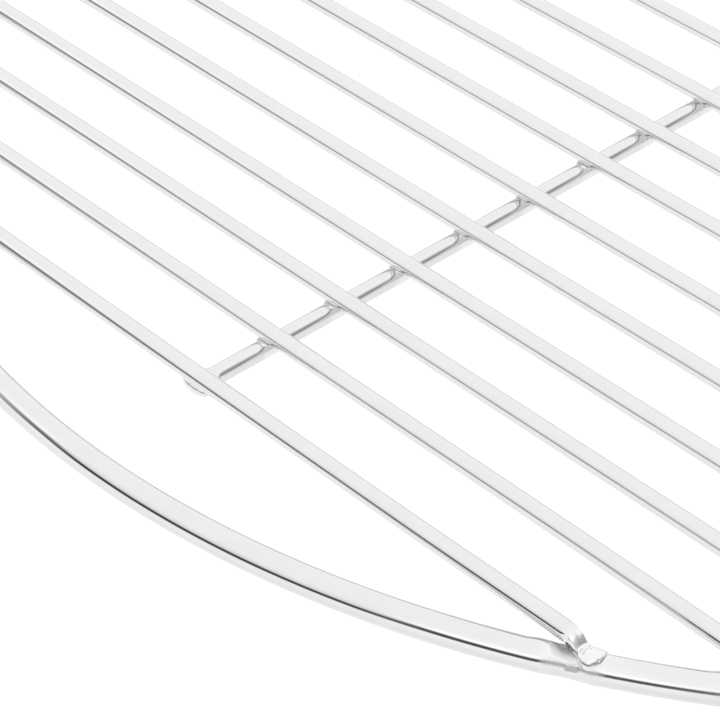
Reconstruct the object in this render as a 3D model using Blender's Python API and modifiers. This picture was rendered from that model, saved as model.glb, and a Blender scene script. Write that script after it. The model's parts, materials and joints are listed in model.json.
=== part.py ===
"""A round wire cooling rack: an outer ring, parallel bars laid across it and one support wire under the bars.

Metres, +Z up. The origin is the middle of the ring, on the surface that the rack stands on.
+X runs along the bars and +Y along the support wire. Every crossing is a pressed weld: the upper wire sits in a
shallow seat that is cut into the lower one. The ring touches the surface all round, so it is the rack's only foot.
"""

import math

import bmesh
import bpy
from mathutils import Vector

# Driving sizes
BAR_COUNT = 23
BAR_PITCH = 0.0130  # between the axes of neighbouring bars
BAR_WIRE = 0.0030  # wire diameter of a bar
SUPPORT_WIRE = 0.0030  # wire diameter of the support under the bars
RING_WIRE = 0.0045  # wire diameter of the ring
RIM_SPACE = 0.0215  # from an outermost bar's axis to the ring's centreline, along the support
BAR_OVERRUN = 0.0016  # how far a bar's end runs past the ring's centreline
SUPPORT_OVERRUN = 0.0024  # how far the support's end runs past an outermost bar's axis
WELD_DEPTH = 0.0005  # how far two crossing wires are pressed into each other
SEAT_GAP = 0.0003  # clearance between a wire and the seat it lies in
END_ROUNDING = 0.0004  # rounding of a cut wire's end

# Fineness of the round shapes: WIRE_SIDES is 4 * n + 2, which puts one flat on top and one underneath
WIRE_SIDES = 14
RING_SEGMENTS = 120
END_SEGMENTS = 2
SHARP_ANGLE = math.radians(40)
CAP_MERGE = 0.00001

# Sizes that follow
RING_RADIUS = (BAR_COUNT - 1) / 2 * BAR_PITCH + RIM_SPACE
BAR_AXIS_Z = RING_WIRE - WELD_DEPTH + BAR_WIRE / 2
SUPPORT_AXIS_Z = BAR_AXIS_Z - BAR_WIRE / 2 + WELD_DEPTH - SUPPORT_WIRE / 2
SUPPORT_END_Y = (BAR_COUNT - 1) / 2 * BAR_PITCH + SUPPORT_OVERRUN

# Finishes: colour, roughness and metallic value
RING_FINISH = ((0.86, 0.86, 0.86), 0.12, 1.0)
BAR_FINISH = ((0.84, 0.84, 0.84), 0.18, 1.0)
SUPPORT_FINISH = ((0.82, 0.82, 0.83), 0.20, 1.0)


def remove_old_objects():
    """Empties the scene of whatever objects it holds."""
    for old in list(bpy.data.objects):
        bpy.data.objects.remove(old, do_unlink=True)


def new_collection(name):
    """Returns a new collection in the scene."""
    collection = bpy.data.collections.new(name)
    bpy.context.scene.collection.children.link(collection)
    return collection


def move_to(obj, collection):
    """Leaves an object in one collection only."""
    for holder in list(obj.users_collection):
        holder.objects.unlink(obj)
    collection.objects.link(obj)


def dress(obj, finish):
    """Gives an object a metal of its own."""
    colour, roughness, metallic = finish
    material = bpy.data.materials.new(obj.name + "_metal")
    material.use_nodes = True
    shader = material.node_tree.nodes["Principled BSDF"]
    shader.inputs["Base Color"].default_value = (*colour, 1.0)
    shader.inputs["Roughness"].default_value = roughness
    shader.inputs["Metallic"].default_value = metallic
    obj.data.materials.append(material)


def shade_round(mesh):
    """Shades a mesh smooth apart from its sharp edges."""
    mesh.shade_smooth()
    mesh.set_sharp_from_angle(angle=SHARP_ANGLE)


def corner_radius(diameter):
    """Returns the radius to the corners of a wire's cross-section whose flats touch the round wire."""
    return diameter / 2 / math.cos(math.pi / WIRE_SIDES)


def straight_wire(name, collection, diameter, stations, centre, turn):
    """Makes a straight wire along X with a cross-section at each station, turned about Z and moved to its centre."""
    curve = bpy.data.curves.new(name, "CURVE")
    curve.dimensions = "3D"
    curve.bevel_depth = corner_radius(diameter)
    curve.bevel_resolution = (WIRE_SIDES - 4) // 2
    curve.use_fill_caps = True
    spline = curve.splines.new("POLY")
    spline.points.add(len(stations) - 1)
    for point, x in zip(spline.points, stations):
        point.co = (x, 0, 0, 1)
    wire = bpy.data.objects.new(name, curve)
    collection.objects.link(wire)
    wire.location = centre
    wire.rotation_euler = (0, 0, turn)
    return wire


def to_mesh(wire):
    """Turns a curve object into a mesh object of the same name, with its caps welded on."""
    bpy.context.view_layer.update()
    depsgraph = bpy.context.evaluated_depsgraph_get()
    mesh = bpy.data.meshes.new_from_object(wire.evaluated_get(depsgraph))
    bm = bmesh.new()
    bm.from_mesh(mesh)
    bmesh.ops.remove_doubles(bm, verts=bm.verts, dist=CAP_MERGE)
    bmesh.ops.recalc_face_normals(bm, faces=bm.faces)
    bm.to_mesh(mesh)
    bm.free()
    name = wire.name
    collection = wire.users_collection[0]
    place = wire.matrix_world.copy()
    bpy.data.objects.remove(wire, do_unlink=True)
    solid = bpy.data.objects.new(name, mesh)
    collection.objects.link(solid)
    solid.matrix_world = place
    return solid


def round_ends(solid):
    """Rounds the rims of a wire's two ends."""
    bevel = solid.modifiers.new("rounded_ends", "BEVEL")
    bevel.width = END_ROUNDING
    bevel.segments = END_SEGMENTS
    bevel.limit_method = "ANGLE"
    bevel.angle_limit = SHARP_ANGLE


def bar_places():
    """Yields each bar's number, its place along the support and half its length, from -Y to +Y."""
    for number in range(1, BAR_COUNT + 1):
        y = (number - (BAR_COUNT + 1) / 2) * BAR_PITCH
        yield number, y, math.sqrt(RING_RADIUS**2 - y**2) + BAR_OVERRUN


def make_seat_cutters(collection):
    """Makes one cutter for each bar: the bar's own shape, larger all round by the seat's gap."""
    for number, y, half_length in bar_places():
        wire = straight_wire(
            f"seat_cutter_{number:02d}",
            collection,
            BAR_WIRE + 2 * SEAT_GAP,
            (-half_length - SEAT_GAP, half_length + SEAT_GAP),
            Vector((0, y, BAR_AXIS_Z)),
            0,
        )
        cutter = to_mesh(wire)
        cutter.hide_render = True
        cutter.display_type = "WIRE"


def cut_seats(solid, cutters):
    """Cuts the bars' seats into a wire that lies under them."""
    seats = solid.modifiers.new("weld_seats", "BOOLEAN")
    seats.operation = "DIFFERENCE"
    seats.operand_type = "COLLECTION"
    seats.collection = cutters
    seats.solver = "EXACT"


def make_outer_ring(collection, cutters):
    """Makes the ring, lying on the surface by the flats under its wire."""
    bpy.ops.mesh.primitive_torus_add(
        major_segments=RING_SEGMENTS,
        minor_segments=WIRE_SIDES,
        major_radius=RING_RADIUS,
        minor_radius=corner_radius(RING_WIRE),
        location=(0, 0, RING_WIRE / 2),
    )
    ring = bpy.context.object
    ring.name = "outer_ring"
    move_to(ring, collection)
    shade_round(ring.data)
    cut_seats(ring, cutters)
    dress(ring, RING_FINISH)


def make_cross_support(collection, cutters):
    """Makes the support wire that ties the bars together from below, with a cross-section between all its seats."""
    centre = Vector((0, 0, SUPPORT_AXIS_Z))
    between = [(gap - BAR_COUNT / 2) * BAR_PITCH for gap in range(1, BAR_COUNT)]
    stations = (-SUPPORT_END_Y, *between, SUPPORT_END_Y)
    wire = straight_wire("cross_support", collection, SUPPORT_WIRE, stations, centre, math.pi / 2)
    support = to_mesh(wire)
    shade_round(support.data)
    round_ends(support)
    cut_seats(support, cutters)
    dress(support, SUPPORT_FINISH)


def make_grid_bars(collection):
    """Makes the parallel bars that the baking stands on."""
    for number, y, half_length in bar_places():
        name = f"grid_bar_{number:02d}"
        centre = Vector((0, y, BAR_AXIS_Z))
        wire = straight_wire(name, collection, BAR_WIRE, (-half_length, half_length), centre, 0)
        bar = to_mesh(wire)
        shade_round(bar.data)
        round_ends(bar)
        dress(bar, BAR_FINISH)


def main():
    """Builds the rack."""
    remove_old_objects()
    rack = new_collection("cooling_rack")
    cutters = new_collection("seat_cutters")
    make_seat_cutters(cutters)
    make_outer_ring(rack, cutters)
    make_cross_support(rack, cutters)
    make_grid_bars(rack)


main()
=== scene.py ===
"""The looks of a round wire cooling rack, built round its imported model.

Every wire is swept by a node tree and shaped where it is welded: the bars' ends are pressed down into flat
paddles on the ring, the ring carries the marks of the electrodes, and the support's ends are squeezed under the
outermost bars. Lengths are in metres. A profile's points are in millimetres, as a wire bender would give them.
"""

from __future__ import annotations

import json
import logging
import math
import random
from dataclasses import dataclass
from enum import Enum
from typing import ClassVar

import bpy
from mathutils import Matrix, Vector

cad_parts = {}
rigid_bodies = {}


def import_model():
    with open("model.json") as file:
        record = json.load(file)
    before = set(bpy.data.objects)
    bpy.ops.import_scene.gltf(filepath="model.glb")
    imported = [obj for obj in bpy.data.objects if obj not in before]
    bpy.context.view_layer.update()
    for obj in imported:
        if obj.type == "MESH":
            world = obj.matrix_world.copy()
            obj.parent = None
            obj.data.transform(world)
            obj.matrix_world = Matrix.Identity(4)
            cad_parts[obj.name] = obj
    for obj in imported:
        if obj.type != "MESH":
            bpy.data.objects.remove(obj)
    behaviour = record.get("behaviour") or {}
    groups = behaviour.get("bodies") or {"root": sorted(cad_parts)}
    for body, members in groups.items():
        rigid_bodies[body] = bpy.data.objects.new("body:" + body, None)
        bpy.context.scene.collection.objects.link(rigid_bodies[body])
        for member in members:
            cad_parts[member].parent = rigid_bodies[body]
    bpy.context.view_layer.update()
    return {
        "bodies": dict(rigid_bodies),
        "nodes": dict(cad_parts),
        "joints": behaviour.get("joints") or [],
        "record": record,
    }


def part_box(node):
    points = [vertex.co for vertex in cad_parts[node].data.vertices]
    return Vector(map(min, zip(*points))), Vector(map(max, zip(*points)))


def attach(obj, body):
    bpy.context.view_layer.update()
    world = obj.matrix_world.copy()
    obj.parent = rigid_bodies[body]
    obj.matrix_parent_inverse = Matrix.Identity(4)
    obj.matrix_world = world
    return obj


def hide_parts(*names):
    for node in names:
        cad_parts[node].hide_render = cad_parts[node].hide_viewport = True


LOG = logging.getLogger("cooling_rack")
MM = 0.001
COINCIDENT = 2e-6  # points closer than this are joined
FLAT_SHARE = math.cos(math.pi / 14)  # a flat's distance over a corner's, from the axis of the model's 14-sided wires
BODY = "root"
ALONG = "wire_place"  # attribute: the point on the straight, unpressed wire
HEAT = "weld_heat"  # attribute: 1 where the metal was welded, 0 where it wasn't
TURN = "stamp_turn"  # attribute: how a stamped or added shape is turned
SIZE = "stamp_size"  # attribute: how large it is
Profile = tuple[tuple[float, float], ...]  # places and the values there


class Slot(Enum):
    """The record's material slots."""

    RING = "ring_wire"
    BAR = "bar_wire"
    SUPPORT = "support_wire"


class Scatter(Enum):
    """What a random number of a weld is for; each has a stream of its own."""

    TIP_WIDTH = 1
    DROP = 2
    SWAY = 3
    CREASE = 4


# Node trees written as arithmetic


class NodeSheet:
    """Adds nodes to one tree and wires them up."""

    def __init__(self, tree: bpy.types.NodeTree) -> None:
        """Takes the geometry or shader tree that the nodes go into."""
        self.tree = tree

    def add(self, kind: str, inputs: dict | None = None, **settings: object) -> bpy.types.Node:
        """Adds one node.

        Args:
            kind: the node's type name.
            inputs: what each input gets, by its name or its number.
            settings: the node's own properties.

        Returns:
            The new node.
        """
        node = self.tree.nodes.new(kind)
        for name, value in settings.items():
            setattr(node, name, value)
        for key, value in (inputs or {}).items():
            self.feed(node.inputs[key], value)
        return node

    def feed(self, socket: bpy.types.NodeSocket, value: object) -> None:
        """Gives an input a field, a socket or a plain value.

        Args:
            socket: the input.
            value: what it gets.
        """
        if isinstance(value, Field):
            self.tree.links.new(value.socket, socket)
        elif isinstance(value, bpy.types.NodeSocket):
            self.tree.links.new(value, socket)
        else:
            socket.default_value = value

    def field(self, node: bpy.types.Node, output: int | str = 0) -> Field:
        """Returns one output of a node, given by its name or number, as a field."""
        return Field(self, node.outputs[output])

    def math(self, operation: str, *terms: object) -> Field:
        """Returns the result of a Math node with one to three inputs."""
        return self.field(self.add("ShaderNodeMath", dict(enumerate(terms)), operation=operation))

    def split(self, vector: object) -> tuple[Field, Field, Field]:
        """Returns the X, Y and Z of a vector."""
        node = self.add("ShaderNodeSeparateXYZ", {0: vector})
        return self.field(node, 0), self.field(node, 1), self.field(node, 2)

    def join(self, x: object, y: object, z: object) -> Field:
        """Returns the vector that these three parts make."""
        return self.field(self.add("ShaderNodeCombineXYZ", {0: x, 1: y, 2: z}))

    def ramp(self, value: object, low: float, high: float) -> Field:
        """Returns a smooth step from 0 at low to 1 at high; high may be the smaller one.

        Args:
            value: what is looked at.
            low: where the step starts.
            high: where it ends.

        Returns:
            The step.
        """
        if low < high:
            inputs = {"Value": value, "From Min": low, "From Max": high}
            node = self.add("ShaderNodeMapRange", inputs, interpolation_type="SMOOTHSTEP")
            return self.field(node)
        return 1.0 - self.ramp(value, high, low)

    def noise(self, vector: object, scale: float, detail: float = 2.0, rough: float = 0.5) -> Field:
        """Returns smooth noise about 0.5; detail is its octaves, and rough is how strong the finer ones are."""
        inputs = {"Vector": vector, "Scale": scale, "Detail": detail, "Roughness": rough}
        return self.field(self.add("ShaderNodeTexNoise", inputs), 0)

    def profile(self, value: Field, points: Profile) -> Field:
        """Returns a smooth curve through points, both ways in millimetres, as a length in metres.

        Args:
            value: the place along the profile, in metres.
            points: the profile's points, from the first place to the last.

        Returns:
            The profile's height, in metres.
        """
        places = [point[0] for point in points]
        heights = [point[1] for point in points]
        first, span = places[0], places[-1] - places[0]
        lowest, rise = min(heights), max(heights) - min(heights)
        node = self.add("ShaderNodeFloatCurve", {"Value": (value / MM - first) / span})
        curve = node.mapping.curves[0]
        while len(curve.points) < len(points):
            curve.points.new(0.5, 0.5)
        for point, (place, height) in zip(curve.points, points):
            point.location = ((place - first) / span, (height - lowest) / rise)
            point.handle_type = "AUTO_CLAMPED"
        node.mapping.update()
        return (self.field(node) * rise + lowest) * MM


@dataclass(frozen=True)
class Field:
    """A value that a node tree works out for every point, written like a number."""

    sheet: NodeSheet
    socket: bpy.types.NodeSocket

    def __add__(self, other: object) -> Field:
        """Returns the sum."""
        return self.sheet.math("ADD", self, other)

    def __radd__(self, other: object) -> Field:
        """Returns the sum."""
        return self.sheet.math("ADD", other, self)

    def __sub__(self, other: object) -> Field:
        """Returns the difference."""
        return self.sheet.math("SUBTRACT", self, other)

    def __rsub__(self, other: object) -> Field:
        """Returns the difference from a plain number."""
        return self.sheet.math("SUBTRACT", other, self)

    def __mul__(self, other: object) -> Field:
        """Returns the product."""
        return self.sheet.math("MULTIPLY", self, other)

    def __truediv__(self, other: object) -> Field:
        """Returns the quotient."""
        return self.sheet.math("DIVIDE", self, other)

    def __rtruediv__(self, other: object) -> Field:
        """Returns the quotient of a plain number and this one."""
        return self.sheet.math("DIVIDE", other, self)

    def __pow__(self, other: object) -> Field:
        """Returns the power."""
        return self.sheet.math("POWER", self, other)

    def size(self) -> Field:
        """Returns the value without its sign."""
        return self.sheet.math("ABSOLUTE", self)

    def sign(self) -> Field:
        """Returns -1, 0 or 1."""
        return self.sheet.math("SIGN", self)

    def least(self, other: object) -> Field:
        """Returns the smaller of two."""
        return self.sheet.math("MINIMUM", self, other)

    def most(self, other: object) -> Field:
        """Returns the larger of two."""
        return self.sheet.math("MAXIMUM", self, other)

    def above(self, other: object) -> Field:
        """Returns 1 where the value is larger than the other, else 0."""
        return self.sheet.math("GREATER_THAN", self, other)


class GeometryTree(NodeSheet):
    """A Geometry Nodes tree with named inputs, which ends in Realize Instances and Set Material."""

    CHANCE_ROW: ClassVar[float] = 0.37  # the fixed seed of chance()

    def __init__(self, name: str) -> None:
        """Starts a tree.

        Args:
            name: the tree's name.
        """
        super().__init__(bpy.data.node_groups.new(name, "GeometryNodeTree"))
        self.tree.interface.new_socket("Geometry", in_out="OUTPUT", socket_type="NodeSocketGeometry")
        self.entry = self.tree.nodes.new("NodeGroupInput")
        self.end = self.tree.nodes.new("NodeGroupOutput")
        self.identifiers: dict[str, str] = {}
        self.metal = self.input("Metal", "NodeSocketMaterial", None)

    def input(self, name: str, kind: str, default: object) -> Field:
        """Adds a named input.

        Args:
            name: the input's name.
            kind: its socket type.
            default: its default value, or None.

        Returns:
            The input's value.
        """
        socket = self.tree.interface.new_socket(name, in_out="INPUT", socket_type=kind)
        if default is not None:
            socket.default_value = default
        self.identifiers[name] = socket.identifier
        return Field(self, self.entry.outputs[name])

    def number(self, name: str, default: float) -> Field:
        """Adds a number to the inputs and returns it."""
        return self.input(name, "NodeSocketFloat", default)

    def position(self) -> Field:
        """Returns each point's place."""
        return self.field(self.add("GeometryNodeInputPosition"))

    def index(self) -> Field:
        """Returns each point's number."""
        return self.field(self.add("GeometryNodeInputIndex"))

    def chance(self, place: object, use: Scatter) -> Field:
        """Returns a random number from 0 to 1, always the same for the same place and use."""
        vector = self.join(place, float(use.value), self.CHANCE_ROW)
        return self.field(self.add("ShaderNodeTexWhiteNoise", {"Vector": vector}, noise_dimensions="3D"), 0)

    def place(self, geometry: object, position: Field) -> Field:
        """Returns a geometry with its points moved to new places."""
        return self.field(self.add("GeometryNodeSetPosition", {"Geometry": geometry, "Position": position}))

    def store(self, geometry: object, name: str, value: object, kind: str) -> Field:
        """Returns a geometry whose points keep a value as a named attribute of this data type."""
        inputs = {"Geometry": geometry, "Name": name, "Value": value}
        return self.field(self.add("GeometryNodeStoreNamedAttribute", inputs, data_type=kind, domain="POINT"))

    def sweep(self, path: object, radius: float, sides: int) -> Field:
        """Returns the mesh of a round wire, with this many sides, that follows a path."""
        circle = self.add("GeometryNodeCurvePrimitiveCircle", {"Resolution": sides, "Radius": radius})
        return self.field(self.add("GeometryNodeCurveToMesh", {"Curve": path, "Profile Curve": circle.outputs[0]}))

    def stamps(self, name: str, shape: object) -> Field:
        """Puts one shape at every point of an input object, turned and sized by the points' attributes.

        Args:
            name: the input's name.
            shape: the shape's geometry.

        Returns:
            The placed shapes, as one mesh.
        """
        turn = self.add("GeometryNodeInputNamedAttribute", {"Name": TURN}, data_type="FLOAT_VECTOR")
        size = self.add("GeometryNodeInputNamedAttribute", {"Name": SIZE}, data_type="FLOAT_VECTOR")
        points = self.points(name)
        inputs = {"Points": points, "Instance": shape, "Rotation": turn.outputs[0], "Scale": size.outputs[0]}
        placed = self.add("GeometryNodeInstanceOnPoints", inputs)
        return self.field(self.add("GeometryNodeRealizeInstances", {0: placed.outputs[0]}))

    def points(self, name: str) -> Field:
        """Adds an object to the inputs and returns its geometry."""
        source = self.input(name, "NodeSocketObject", None)
        return self.field(self.add("GeometryNodeObjectInfo", {"Object": source}), "Geometry")

    def distance(self, name: str, place: Field) -> Field:
        """Returns how far each point is from the nearest point of an input object.

        Args:
            name: the input's name.
            place: the points' places.

        Returns:
            The distance.
        """
        inputs = {0: self.points(name), "Sample Position": place}
        near = self.add("GeometryNodeProximity", inputs, target_element="POINTS")
        return self.field(near, "Distance")

    def close(self, geometry: object) -> None:
        """Ends the tree: real geometry, smooth shading and the metal.

        Args:
            geometry: what the tree has made.
        """
        real = self.add("GeometryNodeRealizeInstances", {"Geometry": geometry})
        smooth = self.add("GeometryNodeSetShadeSmooth", {"Geometry": real.outputs[0]})
        metal = self.add("GeometryNodeSetMaterial", {"Geometry": smooth.outputs[0], "Material": self.metal})
        self.tree.links.new(metal.outputs[0], self.end.inputs[0])

    def grow(self, name: str, values: dict[str, object]) -> bpy.types.Object:
        """Runs the tree with these inputs and keeps the result as a plain mesh.

        Args:
            name: the piece's name.
            values: the inputs' values, by their names.

        Returns:
            The finished object.
        """
        piece = bpy.data.objects.new(name, bpy.data.meshes.new(name + "_start"))
        bpy.context.scene.collection.objects.link(piece)
        modifier = piece.modifiers.new("grow", "NODES")
        modifier.node_group = self.tree
        for label, value in values.items():
            modifier[self.identifiers[label]] = value
        depsgraph = bpy.context.evaluated_depsgraph_get()
        mesh = bpy.data.meshes.new_from_object(
            piece.evaluated_get(depsgraph), preserve_all_data_layers=True, depsgraph=depsgraph
        )
        piece.modifiers.remove(modifier)
        piece.data = mesh
        mesh.name = name
        return piece


@dataclass(frozen=True)
class Stamp:
    """Where one shape goes: its place, its turn as Euler angles, and its size."""

    place: tuple[float, float, float]
    turn: tuple[float, float, float] = (0.0, 0.0, 0.0)
    size: tuple[float, float, float] = (1.0, 1.0, 1.0)


def stamp_points(name: str, stamps: list[Stamp]) -> bpy.types.Object:
    """Makes a helper object with a point for each stamp; it is removed once its tree has run.

    Args:
        name: the helper's name.
        stamps: the stamps.

    Returns:
        The helper.
    """
    mesh = bpy.data.meshes.new(name)
    mesh.from_pydata([stamp.place for stamp in stamps], [], [])
    for label, values in ((TURN, [s.turn for s in stamps]), (SIZE, [s.size for s in stamps])):
        layer = mesh.attributes.new(label, "FLOAT_VECTOR", "POINT")
        layer.data.foreach_set("vector", [number for value in values for number in value])
    helper = bpy.data.objects.new(name, mesh)
    bpy.context.scene.collection.objects.link(helper)
    return helper


# Finishes


@dataclass(frozen=True)
class WireFinish:
    """Bright drawn wire: fine lines along it, faint stains, and a paler, pitted skin where it was welded."""

    name: str
    colour: float = 0.70  # how much light the bright metal gives back
    roughness: float = 0.05
    line_depth: float = 0.25  # strength of the drawing lines
    groove_depth: float = 0.30  # strength of the broader, flatter grooves
    weld_colour: float = 0.76
    weld_roughness: float = 0.17
    pit_strength: float = 0.4
    line_fineness: tuple[float, float] = (22.0, 5200.0)  # per metre, along the wire and across it
    groove_fineness: tuple[float, float] = (9.0, 1300.0)
    stain_fineness: float = 260.0
    pit_fineness: float = 2200.0

    def build(self) -> bpy.types.Material:
        """Makes the material.

        Returns:
            The new material.
        """
        material = bpy.data.materials.new(self.name)
        material.use_nodes = True
        sheet = NodeSheet(material.node_tree)
        shader = material.node_tree.nodes["Principled BSDF"]
        shader.inputs["Metallic"].default_value = 1.0
        place = sheet.add("ShaderNodeAttribute", attribute_name=ALONG).outputs["Vector"]
        heat = sheet.field(sheet.add("ShaderNodeAttribute", attribute_name=HEAT), "Fac")
        lines = self.lengthwise(sheet, place, *self.line_fineness)
        grooves = self.lengthwise(sheet, place, *self.groove_fineness)
        stain = sheet.noise(place, self.stain_fineness, 4.0, 0.6)
        grey = self.colour + (stain - 0.5) * 0.05 + heat * (self.weld_colour - self.colour)
        grey = grey + heat * (sheet.noise(place, 1500.0, 3.0) - 0.5) * 0.10
        sheet.feed(shader.inputs["Base Color"], sheet.join(grey, grey, grey * 1.004))
        rough = self.roughness + (stain - 0.5) * 0.03 + (lines - 0.5) * 0.02
        rough = rough + heat * (self.weld_roughness - self.roughness)
        sheet.feed(shader.inputs["Roughness"], rough.most(0.02))
        normal = None
        for height, strength, distance in (
            (grooves, self.groove_depth, 0.012 * MM),
            (lines, self.line_depth, 0.004 * MM),
            (sheet.noise(place, self.pit_fineness, 2.0) * heat, self.pit_strength, 0.06 * MM),
        ):
            bump = sheet.add("ShaderNodeBump", {"Height": height, "Strength": strength, "Distance": distance})
            if normal is not None:
                sheet.feed(bump.inputs["Normal"], normal)
            normal = bump.outputs[0]
        sheet.feed(shader.inputs["Normal"], normal)
        return material

    def lengthwise(self, sheet: NodeSheet, place: object, along: float, across: float) -> Field:
        """Returns the lines that a drawing die leaves, by their fineness along the wire and across it."""
        stretched = sheet.add("ShaderNodeMapping", {"Vector": place, "Scale": (along, across, across)})
        return sheet.noise(stretched.outputs[0], 1.0, 3.0, 0.6)


@dataclass(frozen=True)
class PaleFloor:
    """The plain, matt, pale sheet that the rack lies on."""

    colour: float = 0.93
    glow: float = 0.55  # light that comes through the sheet from below, and takes the shadows away

    def build(self) -> bpy.types.Material:
        """Makes the material.

        Returns:
            The new material.
        """
        material = bpy.data.materials.new("pale_floor")
        material.use_nodes = True
        shader = material.node_tree.nodes["Principled BSDF"]
        shader.inputs["Base Color"].default_value = (self.colour, self.colour, self.colour, 1.0)
        shader.inputs["Roughness"].default_value = 0.9
        shader.inputs["Emission Color"].default_value = (1.0, 1.0, 1.0, 1.0)
        shader.inputs["Emission Strength"].default_value = self.glow
        return material


# The rack

# How far each bar lies from its even place in millimetres, repeated along the rack; welding pulls the ends straighter
JIG_STRAY = (-0.55, 0.4, 0.35, -0.05, 0.0, -0.15, 0.4, -0.3, -0.45, 0.35)
END_SHARE = 0.5


@dataclass(frozen=True)
class RackPlan:
    """The rack's sizes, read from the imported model."""

    ring_radius: float
    ring_wire: float
    bar_wire: float
    bar_height: float
    bar_places: tuple[float, ...]
    support_wire: float
    support_height: float

    @classmethod
    def from_frame(cls, frame: dict) -> RackPlan:
        """Reads the sizes of the wires from their boxes.


        Returns:
            The plan.
        """
        bars = sorted(name for name in frame["nodes"] if name.startswith("grid_bar_"))
        boxes = [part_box(name) for name in bars]
        ring_low, ring_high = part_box("outer_ring")
        support_low, support_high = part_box("cross_support")
        low, high = boxes[0]
        ring_wire = ring_high.z - ring_low.z
        return cls(
            ring_radius=ring_high.x - ring_wire / 2 / FLAT_SHARE,
            ring_wire=ring_wire,
            bar_wire=high.z - low.z,
            bar_height=(high.z + low.z) / 2,
            bar_places=tuple((first.y + last.y) / 2 for first, last in boxes),
            support_wire=2 * support_high.x * FLAT_SHARE,
            support_height=support_low.z + support_high.x * FLAT_SHARE,
        )

    def stray(self, number: int) -> float:
        """Returns how far a bar's middle lies from its even place, as it was loaded into the jig."""
        return JIG_STRAY[(number - 1) % len(JIG_STRAY)] * MM

    def welds(self) -> list[Weld]:
        """Lists the welds of the bars' ends to the ring.

        Returns:
            Two welds for each bar, the one at -X first.
        """
        found = []
        for number, place in enumerate(self.bar_places, start=1):
            y = place + self.stray(number) * END_SHARE
            for side in (-1, 1):
                x = side * math.sqrt(self.ring_radius**2 - y**2)
                toward = -1 if side * y < 0 else 1
                found.append(Weld(number, side, x, y, toward))
        return found


@dataclass(frozen=True)
class Weld:
    """One weld of a bar's end to the ring."""

    number: int
    side: int
    x: float
    y: float
    toward: int  # 1 where the bar leans anticlockwise round the ring from its weld, -1 where clockwise

    def on_ring(self, along: float, outward: float, height: float) -> tuple[float, float, float]:
        """Returns a place on or near the ring, seen from the weld.

        Args:
            along: the distance round the ring towards the bar's side of the weld.
            outward: the distance outside the ring's centreline.
            height: the height above the floor.

        Returns:
            The place.
        """
        radius = math.hypot(self.x, self.y)
        angle = math.atan2(self.y, self.x) + self.toward * along / radius
        return (radius + outward) * math.cos(angle), (radius + outward) * math.sin(angle), height

    def heading(self, along: float) -> float:
        """Returns the ring's direction at a distance as in on_ring, in radians about the vertical."""
        angle = math.atan2(self.y, self.x) + self.toward * along / math.hypot(self.x, self.y)
        return angle + self.toward * math.pi / 2


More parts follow.
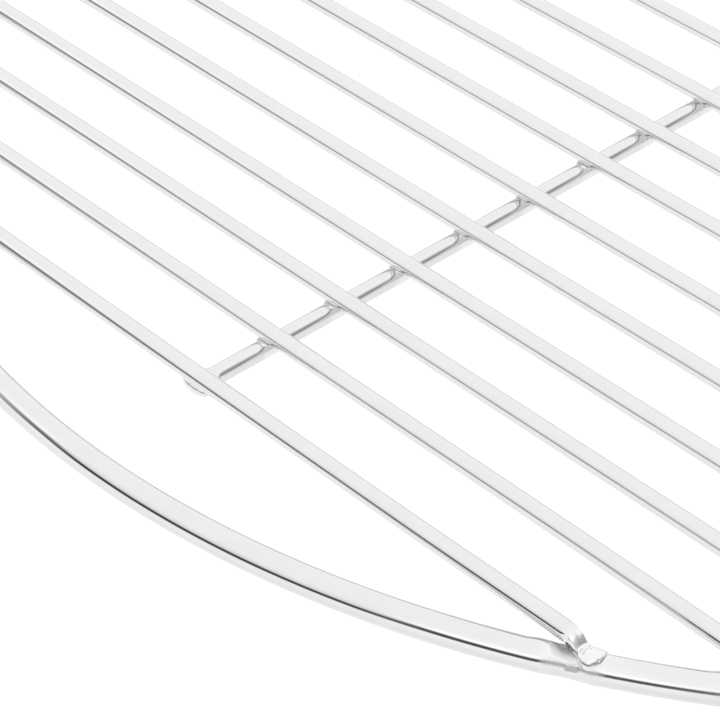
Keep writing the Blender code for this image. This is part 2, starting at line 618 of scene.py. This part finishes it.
@dataclass
class GridBars:
    """The parallel bars: straight in the middle, pressed into flat paddles on the ring at both ends."""

    plan: RackPlan
    finish: WireFinish
    sides: int = 48
    station: float = 0.105 * MM  # between cross-sections near an end
    end_stations: int = 104
    middle_stations: int = 30
    tip: float = 1.85 * MM  # from the crossing to the paddle's tip
    width_spread: float = 0.08  # from the narrowest paddle to the widest, as a share
    drop_spread: float = 0.2 * MM  # from the lowest end to the highest
    sway_spread: float = 0.3 * MM  # how far an end may be from side to side
    crease_strength: float = 1.7
    fullness: float = 0.12  # how far the paddle's section bulges beyond a half ellipse
    dent_depth: float = 0.10 * MM
    pit_depth: float = 0.15 * MM
    sharp_angle: float = math.radians(32)

    # Millimetres from the crossing towards the tip, and the height or the half-width there
    TOP: ClassVar[Profile] = (
        (-12.0, 7.0), (-5.4, 7.02), (-4.5, 7.0), (-3.8, 6.82), (-3.1, 6.42), (-2.5, 5.85), (-2.05, 5.3),
        (-1.75, 5.0), (-1.35, 4.97), (-0.7, 5.12), (0.2, 5.16), (0.9, 5.0), (1.4, 4.66), (1.7, 4.26), (1.85, 3.7),
    )
    WAIST: ClassVar[Profile] = (
        (-12.0, 5.5), (-5.4, 5.5), (-4.0, 5.3), (-2.9, 4.85), (-2.1, 4.3), (-1.5, 3.95), (-0.4, 3.62), (1.85, 3.45),
    )
    BOTTOM: ClassVar[Profile] = (
        (-12.0, 4.0), (-5.0, 4.0), (-3.6, 3.9), (-2.2, 3.5), (-1.0, 3.0), (1.2, 2.95), (1.85, 3.2),
    )
    NEAR_WIDTH: ClassVar[Profile] = (
        (-12.0, 1.5), (-3.6, 1.5), (-2.7, 1.45), (-2.05, 1.35), (-1.75, 1.42), (-1.4, 1.66), (-0.9, 1.92),
        (-0.2, 2.07), (0.5, 2.02), (1.0, 1.78), (1.38, 1.38), (1.65, 0.84), (1.8, 0.36), (1.85, 0.0),
    )
    FAR_WIDTH: ClassVar[Profile] = (
        (-12.0, 1.5), (-4.4, 1.5), (-3.4, 1.46), (-2.6, 1.36), (-2.0, 1.28), (-1.6, 1.3), (-0.7, 1.52),
        (0.0, 1.78), (0.5, 2.04), (0.8, 2.08), (1.15, 1.8), (1.5, 1.24), (1.7, 0.74), (1.8, 0.34), (1.85, 0.0),
    )

    def build(self) -> list[bpy.types.Object]:
        """Makes every bar.

        Returns:
            The bars' objects, from -Y to +Y.
        """
        tree = self.tree()
        metal = self.finish.build()
        crossings = {weld.number: weld.x for weld in self.plan.welds() if weld.side == 1}
        bars = []
        for number, place in enumerate(self.plan.bar_places, start=1):
            values = {
                "Metal": metal,
                "Crossing": crossings[number],
                "Place": place,
                "Stray": self.plan.stray(number),
                "Number": number,
                "Nearer Side": -1.0 if place < 0 else 1.0,
            }
            bar = tree.grow(f"grid_bar_{number:02d}_wire", values)
            bar.data.set_sharp_from_angle(angle=self.sharp_angle)
            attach(bar, BODY)
            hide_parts(f"grid_bar_{number:02d}")
            bars.append(bar)
        return bars

    def tree(self) -> GeometryTree:
        """Makes the tree that every bar is grown from.

        Returns:
            The tree.
        """
        tree = GeometryTree("grid_bar")
        crossing = tree.number("Crossing", 0.08)
        place = tree.number("Place", 0.0)
        stray = tree.number("Stray", 0.0)
        number = tree.input("Number", "NodeSocketInt", 1)
        nearer = tree.number("Nearer Side", 1.0)
        path = self.stations(tree, crossing)
        wire = tree.sweep(path, self.plan.bar_wire / 2, self.sides)
        x, y, z = tree.split(tree.position())
        from_crossing = x.size() - crossing
        wire = tree.store(wire, ALONG, tree.join(x, y + place, z), "FLOAT_VECTOR")
        wire = tree.store(wire, HEAT, tree.ramp(from_crossing, -4.6 * MM, -2.2 * MM), "FLOAT")
        weld = number + x.sign() * 0.25  # a number of its own for each of the bar's two welds
        axis = place + stray * (1.0 - tree.ramp(x.size() / crossing, 0.55, 1.0) * (1.0 - END_SHARE))
        pressed = self.pressed(tree, from_crossing, x, y, z, weld, nearer)
        wire = tree.place(wire, pressed)
        wire = self.dented(tree, wire, crossing, weld)
        moved = tree.add("GeometryNodeSetPosition", {"Geometry": wire, "Offset": tree.join(0.0, axis, 0.0)})
        merged = tree.add("GeometryNodeMergeByDistance", {"Geometry": moved.outputs[0], "Distance": COINCIDENT})
        tree.close(merged.outputs[0])
        return tree

    def stations(self, tree: GeometryTree, crossing: Field) -> Field:
        """Makes the bar's path, with cross-sections close together near both ends.

        Args:
            tree: the bar's tree.
            crossing: how far out the bar crosses the ring's centreline.

        Returns:
            The path.
        """
        last = 2 * self.end_stations + self.middle_stations - 1
        index = tree.index()
        from_end = index.least(last - index)
        end = crossing + self.tip - from_end * self.station
        inner = crossing + self.tip - (self.end_stations - 1) * self.station
        across = (index - (self.end_stations - 1)) / (self.middle_stations + 1) * 2.0 - 1.0
        near = from_end.above(self.end_stations - 0.5)
        outward = (index - last / 2).sign()
        x = near * inner * across + (1.0 - near) * end * outward
        line = tree.add("GeometryNodeMeshLine", {"Count": last + 1})
        moved = tree.place(line.outputs[0], tree.join(x, 0.0, 0.0))
        return tree.field(tree.add("GeometryNodeMeshToCurve", {"Mesh": moved}))

    def pressed(
        self, tree: GeometryTree, from_crossing: Field, x: Field, y: Field, z: Field, weld: Field, nearer: Field
    ) -> Field:
        """Works out where each point of the round wire is once its ends are pressed.

        Args:
            tree: the bar's tree.
            from_crossing: the distance past the ring's centreline.
            x: the point's place along the straight wire.
            y: its place across it.
            z: its height on it.
            weld: this weld's own number.
            nearer: the side of the bar that the ring leans to, -1 or 1 along Y.

        Returns:
            The points' places, about the bar's own axis.
        """
        radius = self.plan.bar_wire / 2
        height = self.plan.bar_height
        spread = (tree.chance(weld, Scatter.TIP_WIDTH) - 0.5) * self.width_spread
        drop = (tree.chance(weld, Scatter.DROP) - 0.5) * self.drop_spread
        sway = (tree.chance(weld, Scatter.SWAY) - 0.5) * self.sway_spread
        neck = tree.ramp(from_crossing, -5.6 * MM, -2.6 * MM)
        paddle = tree.ramp(from_crossing, -2.2 * MM, -1.0 * MM)
        top = tree.profile(from_crossing, self.TOP) - height
        waist = tree.profile(from_crossing, self.WAIST) - height
        bottom = tree.profile(from_crossing, self.BOTTOM) - height
        near_width = tree.profile(from_crossing, self.NEAR_WIDTH)
        far_width = tree.profile(from_crossing, self.FAR_WIDTH)
        # Flats and creases of the neck: the outline of an eight-sided bar, turned a little from weld to weld
        face = math.tau / 8
        step = tree.math("FLOOR", tree.chance(weld, Scatter.CREASE) * 6.0) * (face / 6)
        corner = tree.math("PINGPONG", tree.math("ARCTAN2", z, y) + step + 8.0 * face, face / 2)
        flat = 1.0 - math.cos(face / 2) / tree.math("COSINE", face / 2 - corner)
        creased = tree.ramp(from_crossing, -5.0 * MM, -3.0 * MM) * tree.ramp(from_crossing, -1.2 * MM, -1.9 * MM)
        shrink = (1.0 - flat * creased * self.crease_strength) / radius
        across, upward = y * shrink, z * shrink
        # The press leaves a flatter face: the paddle's section bulges beyond a half ellipse
        fuller = 1.0 - paddle * self.fullness
        across = across.sign() * across.size() ** fuller
        upward = upward.sign() * upward.size() ** fuller
        toward = (across * nearer).above(0.0)
        width = far_width + toward * (near_width - far_width)
        above = upward.above(0.0)
        half_height = waist - bottom + above * (top - waist * 2.0 + bottom)
        new_y = across * (width + paddle * spread * width) + sway * neck
        new_z = waist + upward * half_height + neck * drop + height
        return tree.join(x, new_y, new_z)

    def dented(self, tree: GeometryTree, wire: Field, crossing: Field, weld: Field) -> Field:
        """Adds the pits and dents of the paddle.

        Args:
            tree: the bar's tree.
            wire: the pressed wire, about its own axis.
            crossing: how far out the ring's centreline is.
            weld: this weld's own number.

        Returns:
            The finished wire.
        """
        x, y, z = tree.split(tree.position())
        from_crossing = x.size() - crossing
        paddle = tree.ramp(from_crossing, -2.4 * MM, -1.2 * MM)
        dent_place = tree.join(x, y, z + weld * 0.013)  # a part of the noise of its own for each weld
        dent = (tree.noise(dent_place, 520.0, 2.0) - 0.5) * paddle * self.dent_depth
        pit = tree.ramp(tree.noise(dent_place, 1250.0, 1.0), 0.66, 0.73) * paddle * self.pit_depth
        normal = tree.field(tree.add("GeometryNodeInputNormal"))
        inputs = {0: normal, "Scale": dent - pit}
        shift = tree.add("ShaderNodeVectorMath", inputs, operation="SCALE")
        moved = tree.add("GeometryNodeSetPosition", {"Geometry": wire, "Offset": shift.outputs[0]})
        return tree.field(moved)


@dataclass
class OuterRing:
    """The thick rim: one round wire, marked by the electrodes beside every bar's end."""

    plan: RackPlan
    finish: WireFinish
    segments: int = 1440
    sides: int = 40
    mark_edge: float = 5.75 * MM  # from the weld to the far edge of the upper electrode's mark
    mark_length: float = 4.5 * MM  # how far it runs from that edge towards the weld
    mark_depth: float = 0.27 * MM  # the mark's depth at that edge
    mark_slope: float = math.radians(5.0)  # how the mark falls towards the weld
    mark_tilt: float = math.radians(5.0)  # and outwards
    mark_yaw: float = math.radians(31.0)  # how the electrode stood askew to the ring
    dent_depth: float = 0.26 * MM  # depth of the lower electrode's dent
    swelling: float = 0.20 * MM  # how high the metal is pushed up beyond the mark's edge
    cutter_width: float = 10 * MM  # of the block that cuts a mark; wider than the wire
    cutter_height: float = 3 * MM
    sharp_angle: float = math.radians(20)
    seed: int = 11

    # Along the ring in metres, then outwards and upwards from the wire's middle as shares of its radius
    DENT_PLACE: ClassVar[tuple[float, float, float]] = (3.4 * MM, 0.98, -0.16)
    SWELLING_PLACE: ClassVar[tuple[float, float, float]] = (7.3 * MM, -0.3, 0.9)
    HEATED_PLACE: ClassVar[tuple[float, float, float]] = (2.4 * MM, 0.0, 0.0)
    # Millimetres along the ring, degrees down from its top, and a slab's length, width and thickness in millimetres
    SLABS: ClassVar[tuple] = ((2.6, 42, (1.1, 0.9, 0.42)), (2.3, 61, (1.6, 0.95, 0.4)))

    def build(self) -> bpy.types.Object:
        """Makes the ring.

        Returns:
            The ring's object.
        """
        helpers = {
            "Marks": stamp_points("marks", self.marks()),
            "Flash": stamp_points("flash", self.flash()),
            "Dents": stamp_points("dents", self.beside_welds(*self.DENT_PLACE)),
            "Swellings": stamp_points("swellings", self.beside_welds(*self.SWELLING_PLACE)),
            "Heated": stamp_points("heated", self.beside_welds(*self.HEATED_PLACE)),
            "Welds": stamp_points("welds", [Stamp(weld.on_ring(0, 0, 0)) for weld in self.plan.welds()]),
        }
        values = {"Metal": self.finish.build(), "Radius": self.plan.ring_radius, **helpers}
        ring = self.tree().grow("outer_ring_wire", values)
        for helper in helpers.values():
            bpy.data.meshes.remove(helper.data)  # the object goes with its mesh
        ring.data.set_sharp_from_angle(angle=self.sharp_angle)
        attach(ring, BODY)
        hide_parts("outer_ring")
        return ring

    def marks(self) -> list[Stamp]:
        """Places the flats that the upper electrode leaves on the ring beside each bar.

        Returns:
            The cutters' stamps.
        """
        rand = random.Random(self.seed)
        stamps = []
        for weld in self.plan.welds():
            edge = self.mark_edge + rand.uniform(-0.3, 0.3) * MM
            height = self.plan.ring_wire - self.mark_depth + rand.uniform(-0.05, 0.05) * MM
            yaw = self.mark_yaw + math.radians(rand.uniform(-6, 6))
            turn = (weld.toward * self.mark_tilt, -self.mark_slope, weld.heading(edge) - weld.toward * yaw)
            stamps.append(Stamp(weld.on_ring(edge, 0.2 * MM, height), turn))
        return stamps

    def flash(self) -> list[Stamp]:
        """Places the little slabs of metal squeezed out below each mark.

        Returns:
            The slabs' stamps, two for each weld.
        """
        rand = random.Random(self.seed + 1)
        wire = self.plan.ring_wire / 2
        stamps = []
        for weld in self.plan.welds():
            for along, angle, size in self.SLABS:
                along = (along + rand.uniform(-0.15, 0.15)) * MM
                lean = math.radians(angle + rand.uniform(-3, 3))
                place = weld.on_ring(along, wire * math.sin(lean), wire * (1 + math.cos(lean)))
                turn = (weld.toward * lean, 0.0, weld.heading(along) + rand.uniform(-0.08, 0.08))
                stamps.append(Stamp(place, turn, tuple(part * MM for part in size)))
        return stamps

    def beside_welds(self, along: float, outward: float, upward: float) -> list[Stamp]:
        """Places a point beside each weld, given as DENT_PLACE is."""
        wire = self.plan.ring_wire / 2
        return [Stamp(weld.on_ring(along, outward * wire, (1 + upward) * wire)) for weld in self.plan.welds()]

    def tree(self) -> GeometryTree:
        """Makes the ring's tree: the swept wire, dented below each weld and cut by the electrodes' marks.

        Returns:
            The tree.
        """
        tree = GeometryTree("outer_ring")
        radius = tree.number("Radius", 0.16)
        path = tree.add("GeometryNodeCurvePrimitiveCircle", {"Resolution": self.segments, "Radius": radius})
        wire = tree.sweep(path.outputs[0], self.plan.ring_wire / 2, self.sides)
        wire = tree.place(wire, self.dented(tree, radius))
        length, tall = self.mark_length, self.cutter_height
        block = tree.add("GeometryNodeMeshCube", {"Size": (length, self.cutter_width, tall)})
        inputs = {"Geometry": block.outputs[0], "Translation": (-length / 2, 0.0, tall / 2)}
        cutter = tree.add("GeometryNodeTransform", inputs)
        slab = tree.field(tree.add("GeometryNodeMeshCube", {"Size": (1.0, 1.0, 1.0)}))
        joined = tree.add("GeometryNodeMeshBoolean", operation="UNION", solver="MANIFOLD")
        tree.feed(joined.inputs["Mesh 2"], wire)
        tree.feed(joined.inputs["Mesh 2"], tree.stamps("Flash", slab))
        cut = tree.add("GeometryNodeMeshBoolean", operation="DIFFERENCE", solver="MANIFOLD")
        tree.feed(cut.inputs["Mesh 1"], joined.outputs[0])
        tree.feed(cut.inputs["Mesh 2"], tree.stamps("Marks", cutter.outputs[0]))
        tree.close(self.coordinates(tree, tree.field(cut), radius))
        return tree

    def dented(self, tree: GeometryTree, radius: Field) -> Field:
        """Works out the places of the ring's points, lifted onto the floor and dented below each weld.

        Args:
            tree: the ring's tree.
            radius: the ring's centreline radius.

        Returns:
            The points' places.
        """
        x, y, z = tree.split(tree.position())
        lift = self.plan.ring_wire / 2
        lifted = tree.join(x, y, z + lift)
        dent = tree.ramp(tree.distance("Dents", lifted), 4.4 * MM, 0.5 * MM) * (self.dent_depth / lift)
        swelling = tree.ramp(tree.distance("Swellings", lifted), 2.3 * MM, 0.4 * MM) * (self.swelling / lift)
        out = tree.math("SQRT", x * x + y * y)
        change = dent - swelling
        shrink = 1.0 - (out - radius) / out * change
        return tree.join(x * shrink, y * shrink, z * (1.0 - change) + lift)

    def coordinates(self, tree: GeometryTree, ring: Field, radius: Field) -> Field:
        """Keeps the place on the straight wire, and how near a weld each point is.

        Args:
            tree: the ring's tree.
            ring: the marked ring.
            radius: the ring's centreline radius.

        Returns:
            The ring with its attributes.
        """
        x, y, z = tree.split(tree.position())
        turn = tree.math("ARCTAN2", y, x)
        out = tree.math("SQRT", x * x + y * y) - radius
        ring = tree.store(ring, ALONG, tree.join(turn * radius, out, z), "FLOAT_VECTOR")
        pressed = tree.ramp(tree.distance("Heated", tree.position()), 5.6 * MM, 4.0 * MM)
        tinted = tree.ramp(tree.distance("Welds", tree.position()), 15.0 * MM, 3.0 * MM) * 0.3
        return tree.store(ring, HEAT, pressed.most(tinted), "FLOAT")


@dataclass
class CrossSupport:
    """The wire under the bars, squeezed flat where it ends below the outermost bars."""

    plan: RackPlan
    finish: WireFinish
    sides: int = 40
    stations: int = 900

    bead_radius: float = 1.0 * MM
    bead_shape: tuple[float, float, float] = (1.45, 1.75, 0.42)  # along the bar, along the support, and upwards
    bead_sink: float = 0.28 * MM  # from the support's top down to a bead's middle

    # Millimetres from the outermost bar's axis outwards, and the height or half-width there
    TOP: ClassVar[Profile] = (
        (-12.0, 4.5), (-4.0, 4.5), (-2.6, 4.45), (-1.2, 4.3), (0.2, 4.2), (1.0, 4.1), (1.4, 3.8), (1.65, 3.2),
    )
    BOTTOM: ClassVar[Profile] = (
        (-12.0, 1.5), (-3.6, 1.5), (-2.0, 1.65), (-0.6, 1.9), (0.6, 2.0), (1.2, 2.25), (1.65, 3.0),
    )
    HALF_WIDTH: ClassVar[Profile] = (
        (-12.0, 1.5), (-3.8, 1.5), (-2.4, 1.8), (-1.2, 2.6), (-0.1, 3.0), (0.6, 2.85), (1.1, 2.3), (1.4, 1.6),
        (1.58, 0.85), (1.65, 0.0),
    )

    def build(self) -> bpy.types.Object:
        """Makes the support.

        Returns:
            The support's object.
        """
        outermost = self.plan.bar_places[-1]
        values = {"Metal": self.finish.build(), "Outermost": outermost}
        support = self.tree().grow("cross_support_wire", values)
        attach(support, BODY)
        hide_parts("cross_support")
        return support

    def tree(self) -> GeometryTree:
        """Makes the support's tree.

        Returns:
            The tree.
        """
        tree = GeometryTree("cross_support")
        outermost = tree.number("Outermost", 0.143)
        tip = self.HALF_WIDTH[-1][0] * MM
        index = tree.index()
        share = index / (self.stations - 1) * 2.0 - 1.0
        reach = outermost + tip
        # Sections crowd towards the two ends
        crowded = share * (1.45 - share * share * 0.45)
        line = tree.add("GeometryNodeMeshLine", {"Count": self.stations})
        moved = tree.place(line.outputs[0], tree.join(crowded * reach, 0.0, 0.0))
        path = tree.add("GeometryNodeMeshToCurve", {"Mesh": moved})
        wire = tree.sweep(path.outputs[0], self.plan.support_wire / 2, self.sides)
        x, y, z = tree.split(tree.position())
        past = x.size() - outermost
        wire = tree.store(wire, ALONG, tree.join(x, y, z), "FLOAT_VECTOR")
        pitch = self.plan.bar_places[1] - self.plan.bar_places[0]
        to_bar = tree.math("PINGPONG", x + pitch * len(self.plan.bar_places), pitch / 2)
        wire = tree.store(wire, HEAT, tree.ramp(to_bar, 2.6 * MM, 1.2 * MM), "FLOAT")
        radius = self.plan.support_wire / 2
        height = self.plan.support_height
        top = tree.profile(past, self.TOP) - height
        bottom = tree.profile(past, self.BOTTOM) - height
        half_width = tree.profile(past, self.HALF_WIDTH)
        new_z = (top + bottom) / 2 + z / radius * ((top - bottom) / 2)
        new_y = y / radius * half_width
        wire = tree.place(wire, tree.join(new_y * -1.0, x, new_z + height))
        merged = tree.add("GeometryNodeMergeByDistance", {"Geometry": wire, "Distance": COINCIDENT})
        tree.close(self.with_beads(tree, tree.field(merged)))
        return tree

    def with_beads(self, tree: GeometryTree, wire: Field) -> Field:
        """Adds the small bead of squeezed metal at each crossing.

        Args:
            tree: the support's tree.
            wire: the support's wire.

        Returns:
            The wire with its beads.
        """
        count = len(self.plan.bar_places)
        low, high = self.plan.bar_places[0], self.plan.bar_places[-1]
        contact = self.plan.support_height + self.plan.support_wire / 2 - self.bead_sink
        offset = (0.0, (high - low) / (count - 1), 0.0)
        inputs = {"Count": count, "Start Location": (0.0, low, contact), "Offset": offset}
        line = tree.add("GeometryNodeMeshLine", inputs)
        bead = tree.add("GeometryNodeMeshUVSphere", {"Segments": 28, "Rings": 14, "Radius": self.bead_radius})
        flat = tree.add("GeometryNodeTransform", {"Geometry": bead.outputs[0], "Scale": self.bead_shape})
        beads = tree.add("GeometryNodeInstanceOnPoints", {"Points": line.outputs[0], "Instance": flat.outputs[0]})
        real = tree.field(tree.add("GeometryNodeRealizeInstances", {0: beads.outputs[0]}))
        rough = tree.noise(tree.position(), 900.0, 2.0)
        lump = tree.join(0.0, (rough - 0.5) * (0.5 * MM), (rough - 0.5) * (0.25 * MM))
        lumpy = tree.add("GeometryNodeSetPosition", {"Geometry": real, "Offset": lump})
        place = tree.store(tree.field(lumpy), ALONG, tree.position(), "FLOAT_VECTOR")
        heated = tree.store(place, HEAT, 1.0, "FLOAT")
        joined = tree.add("GeometryNodeJoinGeometry")
        tree.feed(joined.inputs[0], wire)
        tree.feed(joined.inputs[0], heated)
        return tree.field(joined)


# The studio


@dataclass
class Studio:
    """A pale floor, a soft pale surround and the camera."""

    floor_half: float = 6.0
    brightness: float = 1.25
    aim: tuple[float, float] = (0.01313, -0.12348)
    azimuth: float = 50.10
    elevation: float = 37.50
    roll: float = -2.57
    distance: float = 0.48284
    lens: float = 167.8

    # From above, the direction that the front of the surround faces
    FRONT: ClassVar[tuple[float, float]] = (0.767, -0.641)
    # Degrees above the horizon and the dome's level there, for four ways of looking out
    PLAIN: ClassVar[Profile] = (
        (-90, 0.88), (-50, 0.88), (-30, 0.94), (-14, 0.95), (-9.5, 0.93), (-7, 0.55), (-5, 0.08), (5, 0.05),
        (8, 0.25), (10.5, 0.68), (18, 0.82), (28, 0.93), (38, 0.96), (90, 0.97),
    )
    PANEL: ClassVar[Profile] = (
        (-90, 0.86), (-50, 0.86), (-30, 0.93), (-10, 1.0), (-4, 0.97), (-2, 0.5), (0, 0.1), (13, 0.06),
        (16, 0.3), (19, 0.85), (23, 1.15), (33, 1.15), (40, 1.0), (90, 0.97),
    )
    WALL: ClassVar[Profile] = (
        (-90, 0.9), (-20, 0.88), (-4, 0.8), (2, 0.5), (10, 0.3), (28, 0.36), (40, 0.75), (50, 1.12), (75, 1.12),
        (90, 0.97),
    )
    BACK: ClassVar[Profile] = (
        (-90, 0.9), (-20, 0.9), (-4, 0.85), (-1.5, 0.6), (1.5, 0.6), (4, 0.85), (12, 0.97), (90, 0.97),
    )

    def build(self, bar_height: float) -> None:
        """Makes the floor, the light and the camera.

        Args:
            bar_height: the height of the bars' axes, which the camera looks at.
        """
        self.floor()
        self.surround()
        self.camera(bar_height)
        view = bpy.context.scene.view_settings
        view.view_transform = "Standard"
        view.look = "None"

    def floor(self) -> None:
        """Makes the floor, which the rack lies on."""
        half = self.floor_half
        mesh = bpy.data.meshes.new("floor")
        corners = [(-half, -half, 0), (half, -half, 0), (half, half, 0), (-half, half, 0)]
        mesh.from_pydata(corners, [], [(0, 1, 2, 3)])
        floor = bpy.data.objects.new("floor", mesh)
        bpy.context.scene.collection.objects.link(floor)
        mesh.materials.append(PaleFloor().build())
        floor.visible_glossy = False

    def surround(self) -> None:
        """Makes the light: a pale dome whose edge is dark round the horizon, with a bright panel and a grey wall."""
        world = bpy.data.worlds.new("studio")
        bpy.context.scene.world = world
        world.use_nodes = True
        sheet = NodeSheet(world.node_tree)
        background = world.node_tree.nodes["Background"]
        direction = sheet.add("ShaderNodeTexCoord").outputs["Generated"]
        x, y, up = sheet.split(direction)
        angle = sheet.math("ARCSINE", up) * (180.0 / math.pi)
        front = sheet.ramp(x * self.FRONT[0] + y * self.FRONT[1], -0.45, 0.0)
        panel = sheet.ramp(x, -0.12, 0.05) + sheet.ramp(x * -1.0, 0.62, 0.72)
        wall = sheet.ramp(x, 0.35, 0.7)
        level = self.bands(sheet, angle, self.PLAIN)
        level = level + panel * (self.bands(sheet, angle, self.PANEL) - level)
        level = level + wall * (self.bands(sheet, angle, self.WALL) - level)
        back = self.bands(sheet, angle, self.BACK)
        level = back + front * (level - back)
        seen = sheet.field(sheet.add("ShaderNodeLightPath"), "Is Camera Ray")
        level = level * (1.0 - seen) + seen
        sheet.feed(background.inputs["Color"], sheet.join(level, level, level))
        background.inputs["Strength"].default_value = self.brightness

    def bands(self, sheet: NodeSheet, angle: Field, stops: Profile) -> Field:
        """Returns the surround's level at each height above the horizon.

        Args:
            sheet: the world's nodes.
            angle: the height in degrees.
            stops: heights in degrees and the levels there.

        Returns:
            The level, where 1 is the dome's own.
        """
        ramp = sheet.add("ShaderNodeValToRGB", {"Fac": (angle + 90.0) / 180.0})
        elements = ramp.color_ramp.elements
        while len(elements) < len(stops):
            elements.new(0.5)
        for element, (height, level) in zip(elements, stops):
            element.position = (height + 90) / 180
            element.color = (level, level, level, 1.0)
        return sheet.field(ramp)

    def camera(self, bar_height: float) -> None:
        """Makes the camera.

        Args:
            bar_height: the height of the point it looks at.
        """
        data = bpy.data.cameras.new("camera")
        data.lens = self.lens
        data.sensor_width = 36.0
        data.clip_start = 0.01
        data.clip_end = 60.0
        camera = bpy.data.objects.new("camera", data)
        bpy.context.scene.collection.objects.link(camera)
        azimuth, elevation = math.radians(self.azimuth), math.radians(self.elevation)
        back = Vector((
            math.sin(azimuth) * math.cos(elevation),
            -math.cos(azimuth) * math.cos(elevation),
            math.sin(elevation),
        ))
        turn = (-back).to_track_quat("-Z", "Y").to_matrix() @ Matrix.Rotation(math.radians(self.roll), 3, "Z")
        camera.location = Vector((*self.aim, bar_height)) + back * self.distance
        camera.rotation_euler = turn.to_euler()
        bpy.context.scene.camera = camera


def main() -> None:
    """Builds the rack round its frame."""
    logging.basicConfig(level=logging.INFO, format="%(name)s: %(message)s")
    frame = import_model()
    plan = RackPlan.from_frame(frame)
    bright = {
        Slot.RING: WireFinish("ring_metal", weld_roughness=0.34),
        Slot.BAR: WireFinish("bar_metal", roughness=0.06),
        Slot.SUPPORT: WireFinish("support_metal", roughness=0.08),
    }
    pieces = [OuterRing(plan, bright[Slot.RING]).build(), CrossSupport(plan, bright[Slot.SUPPORT]).build()]
    pieces.extend(GridBars(plan, bright[Slot.BAR]).build())
    for piece in pieces:
        LOG.info("%s: %d faces", piece.name, len(piece.data.polygons))
    Studio().build(plan.bar_height)


if __name__ == "__main__":
    main()
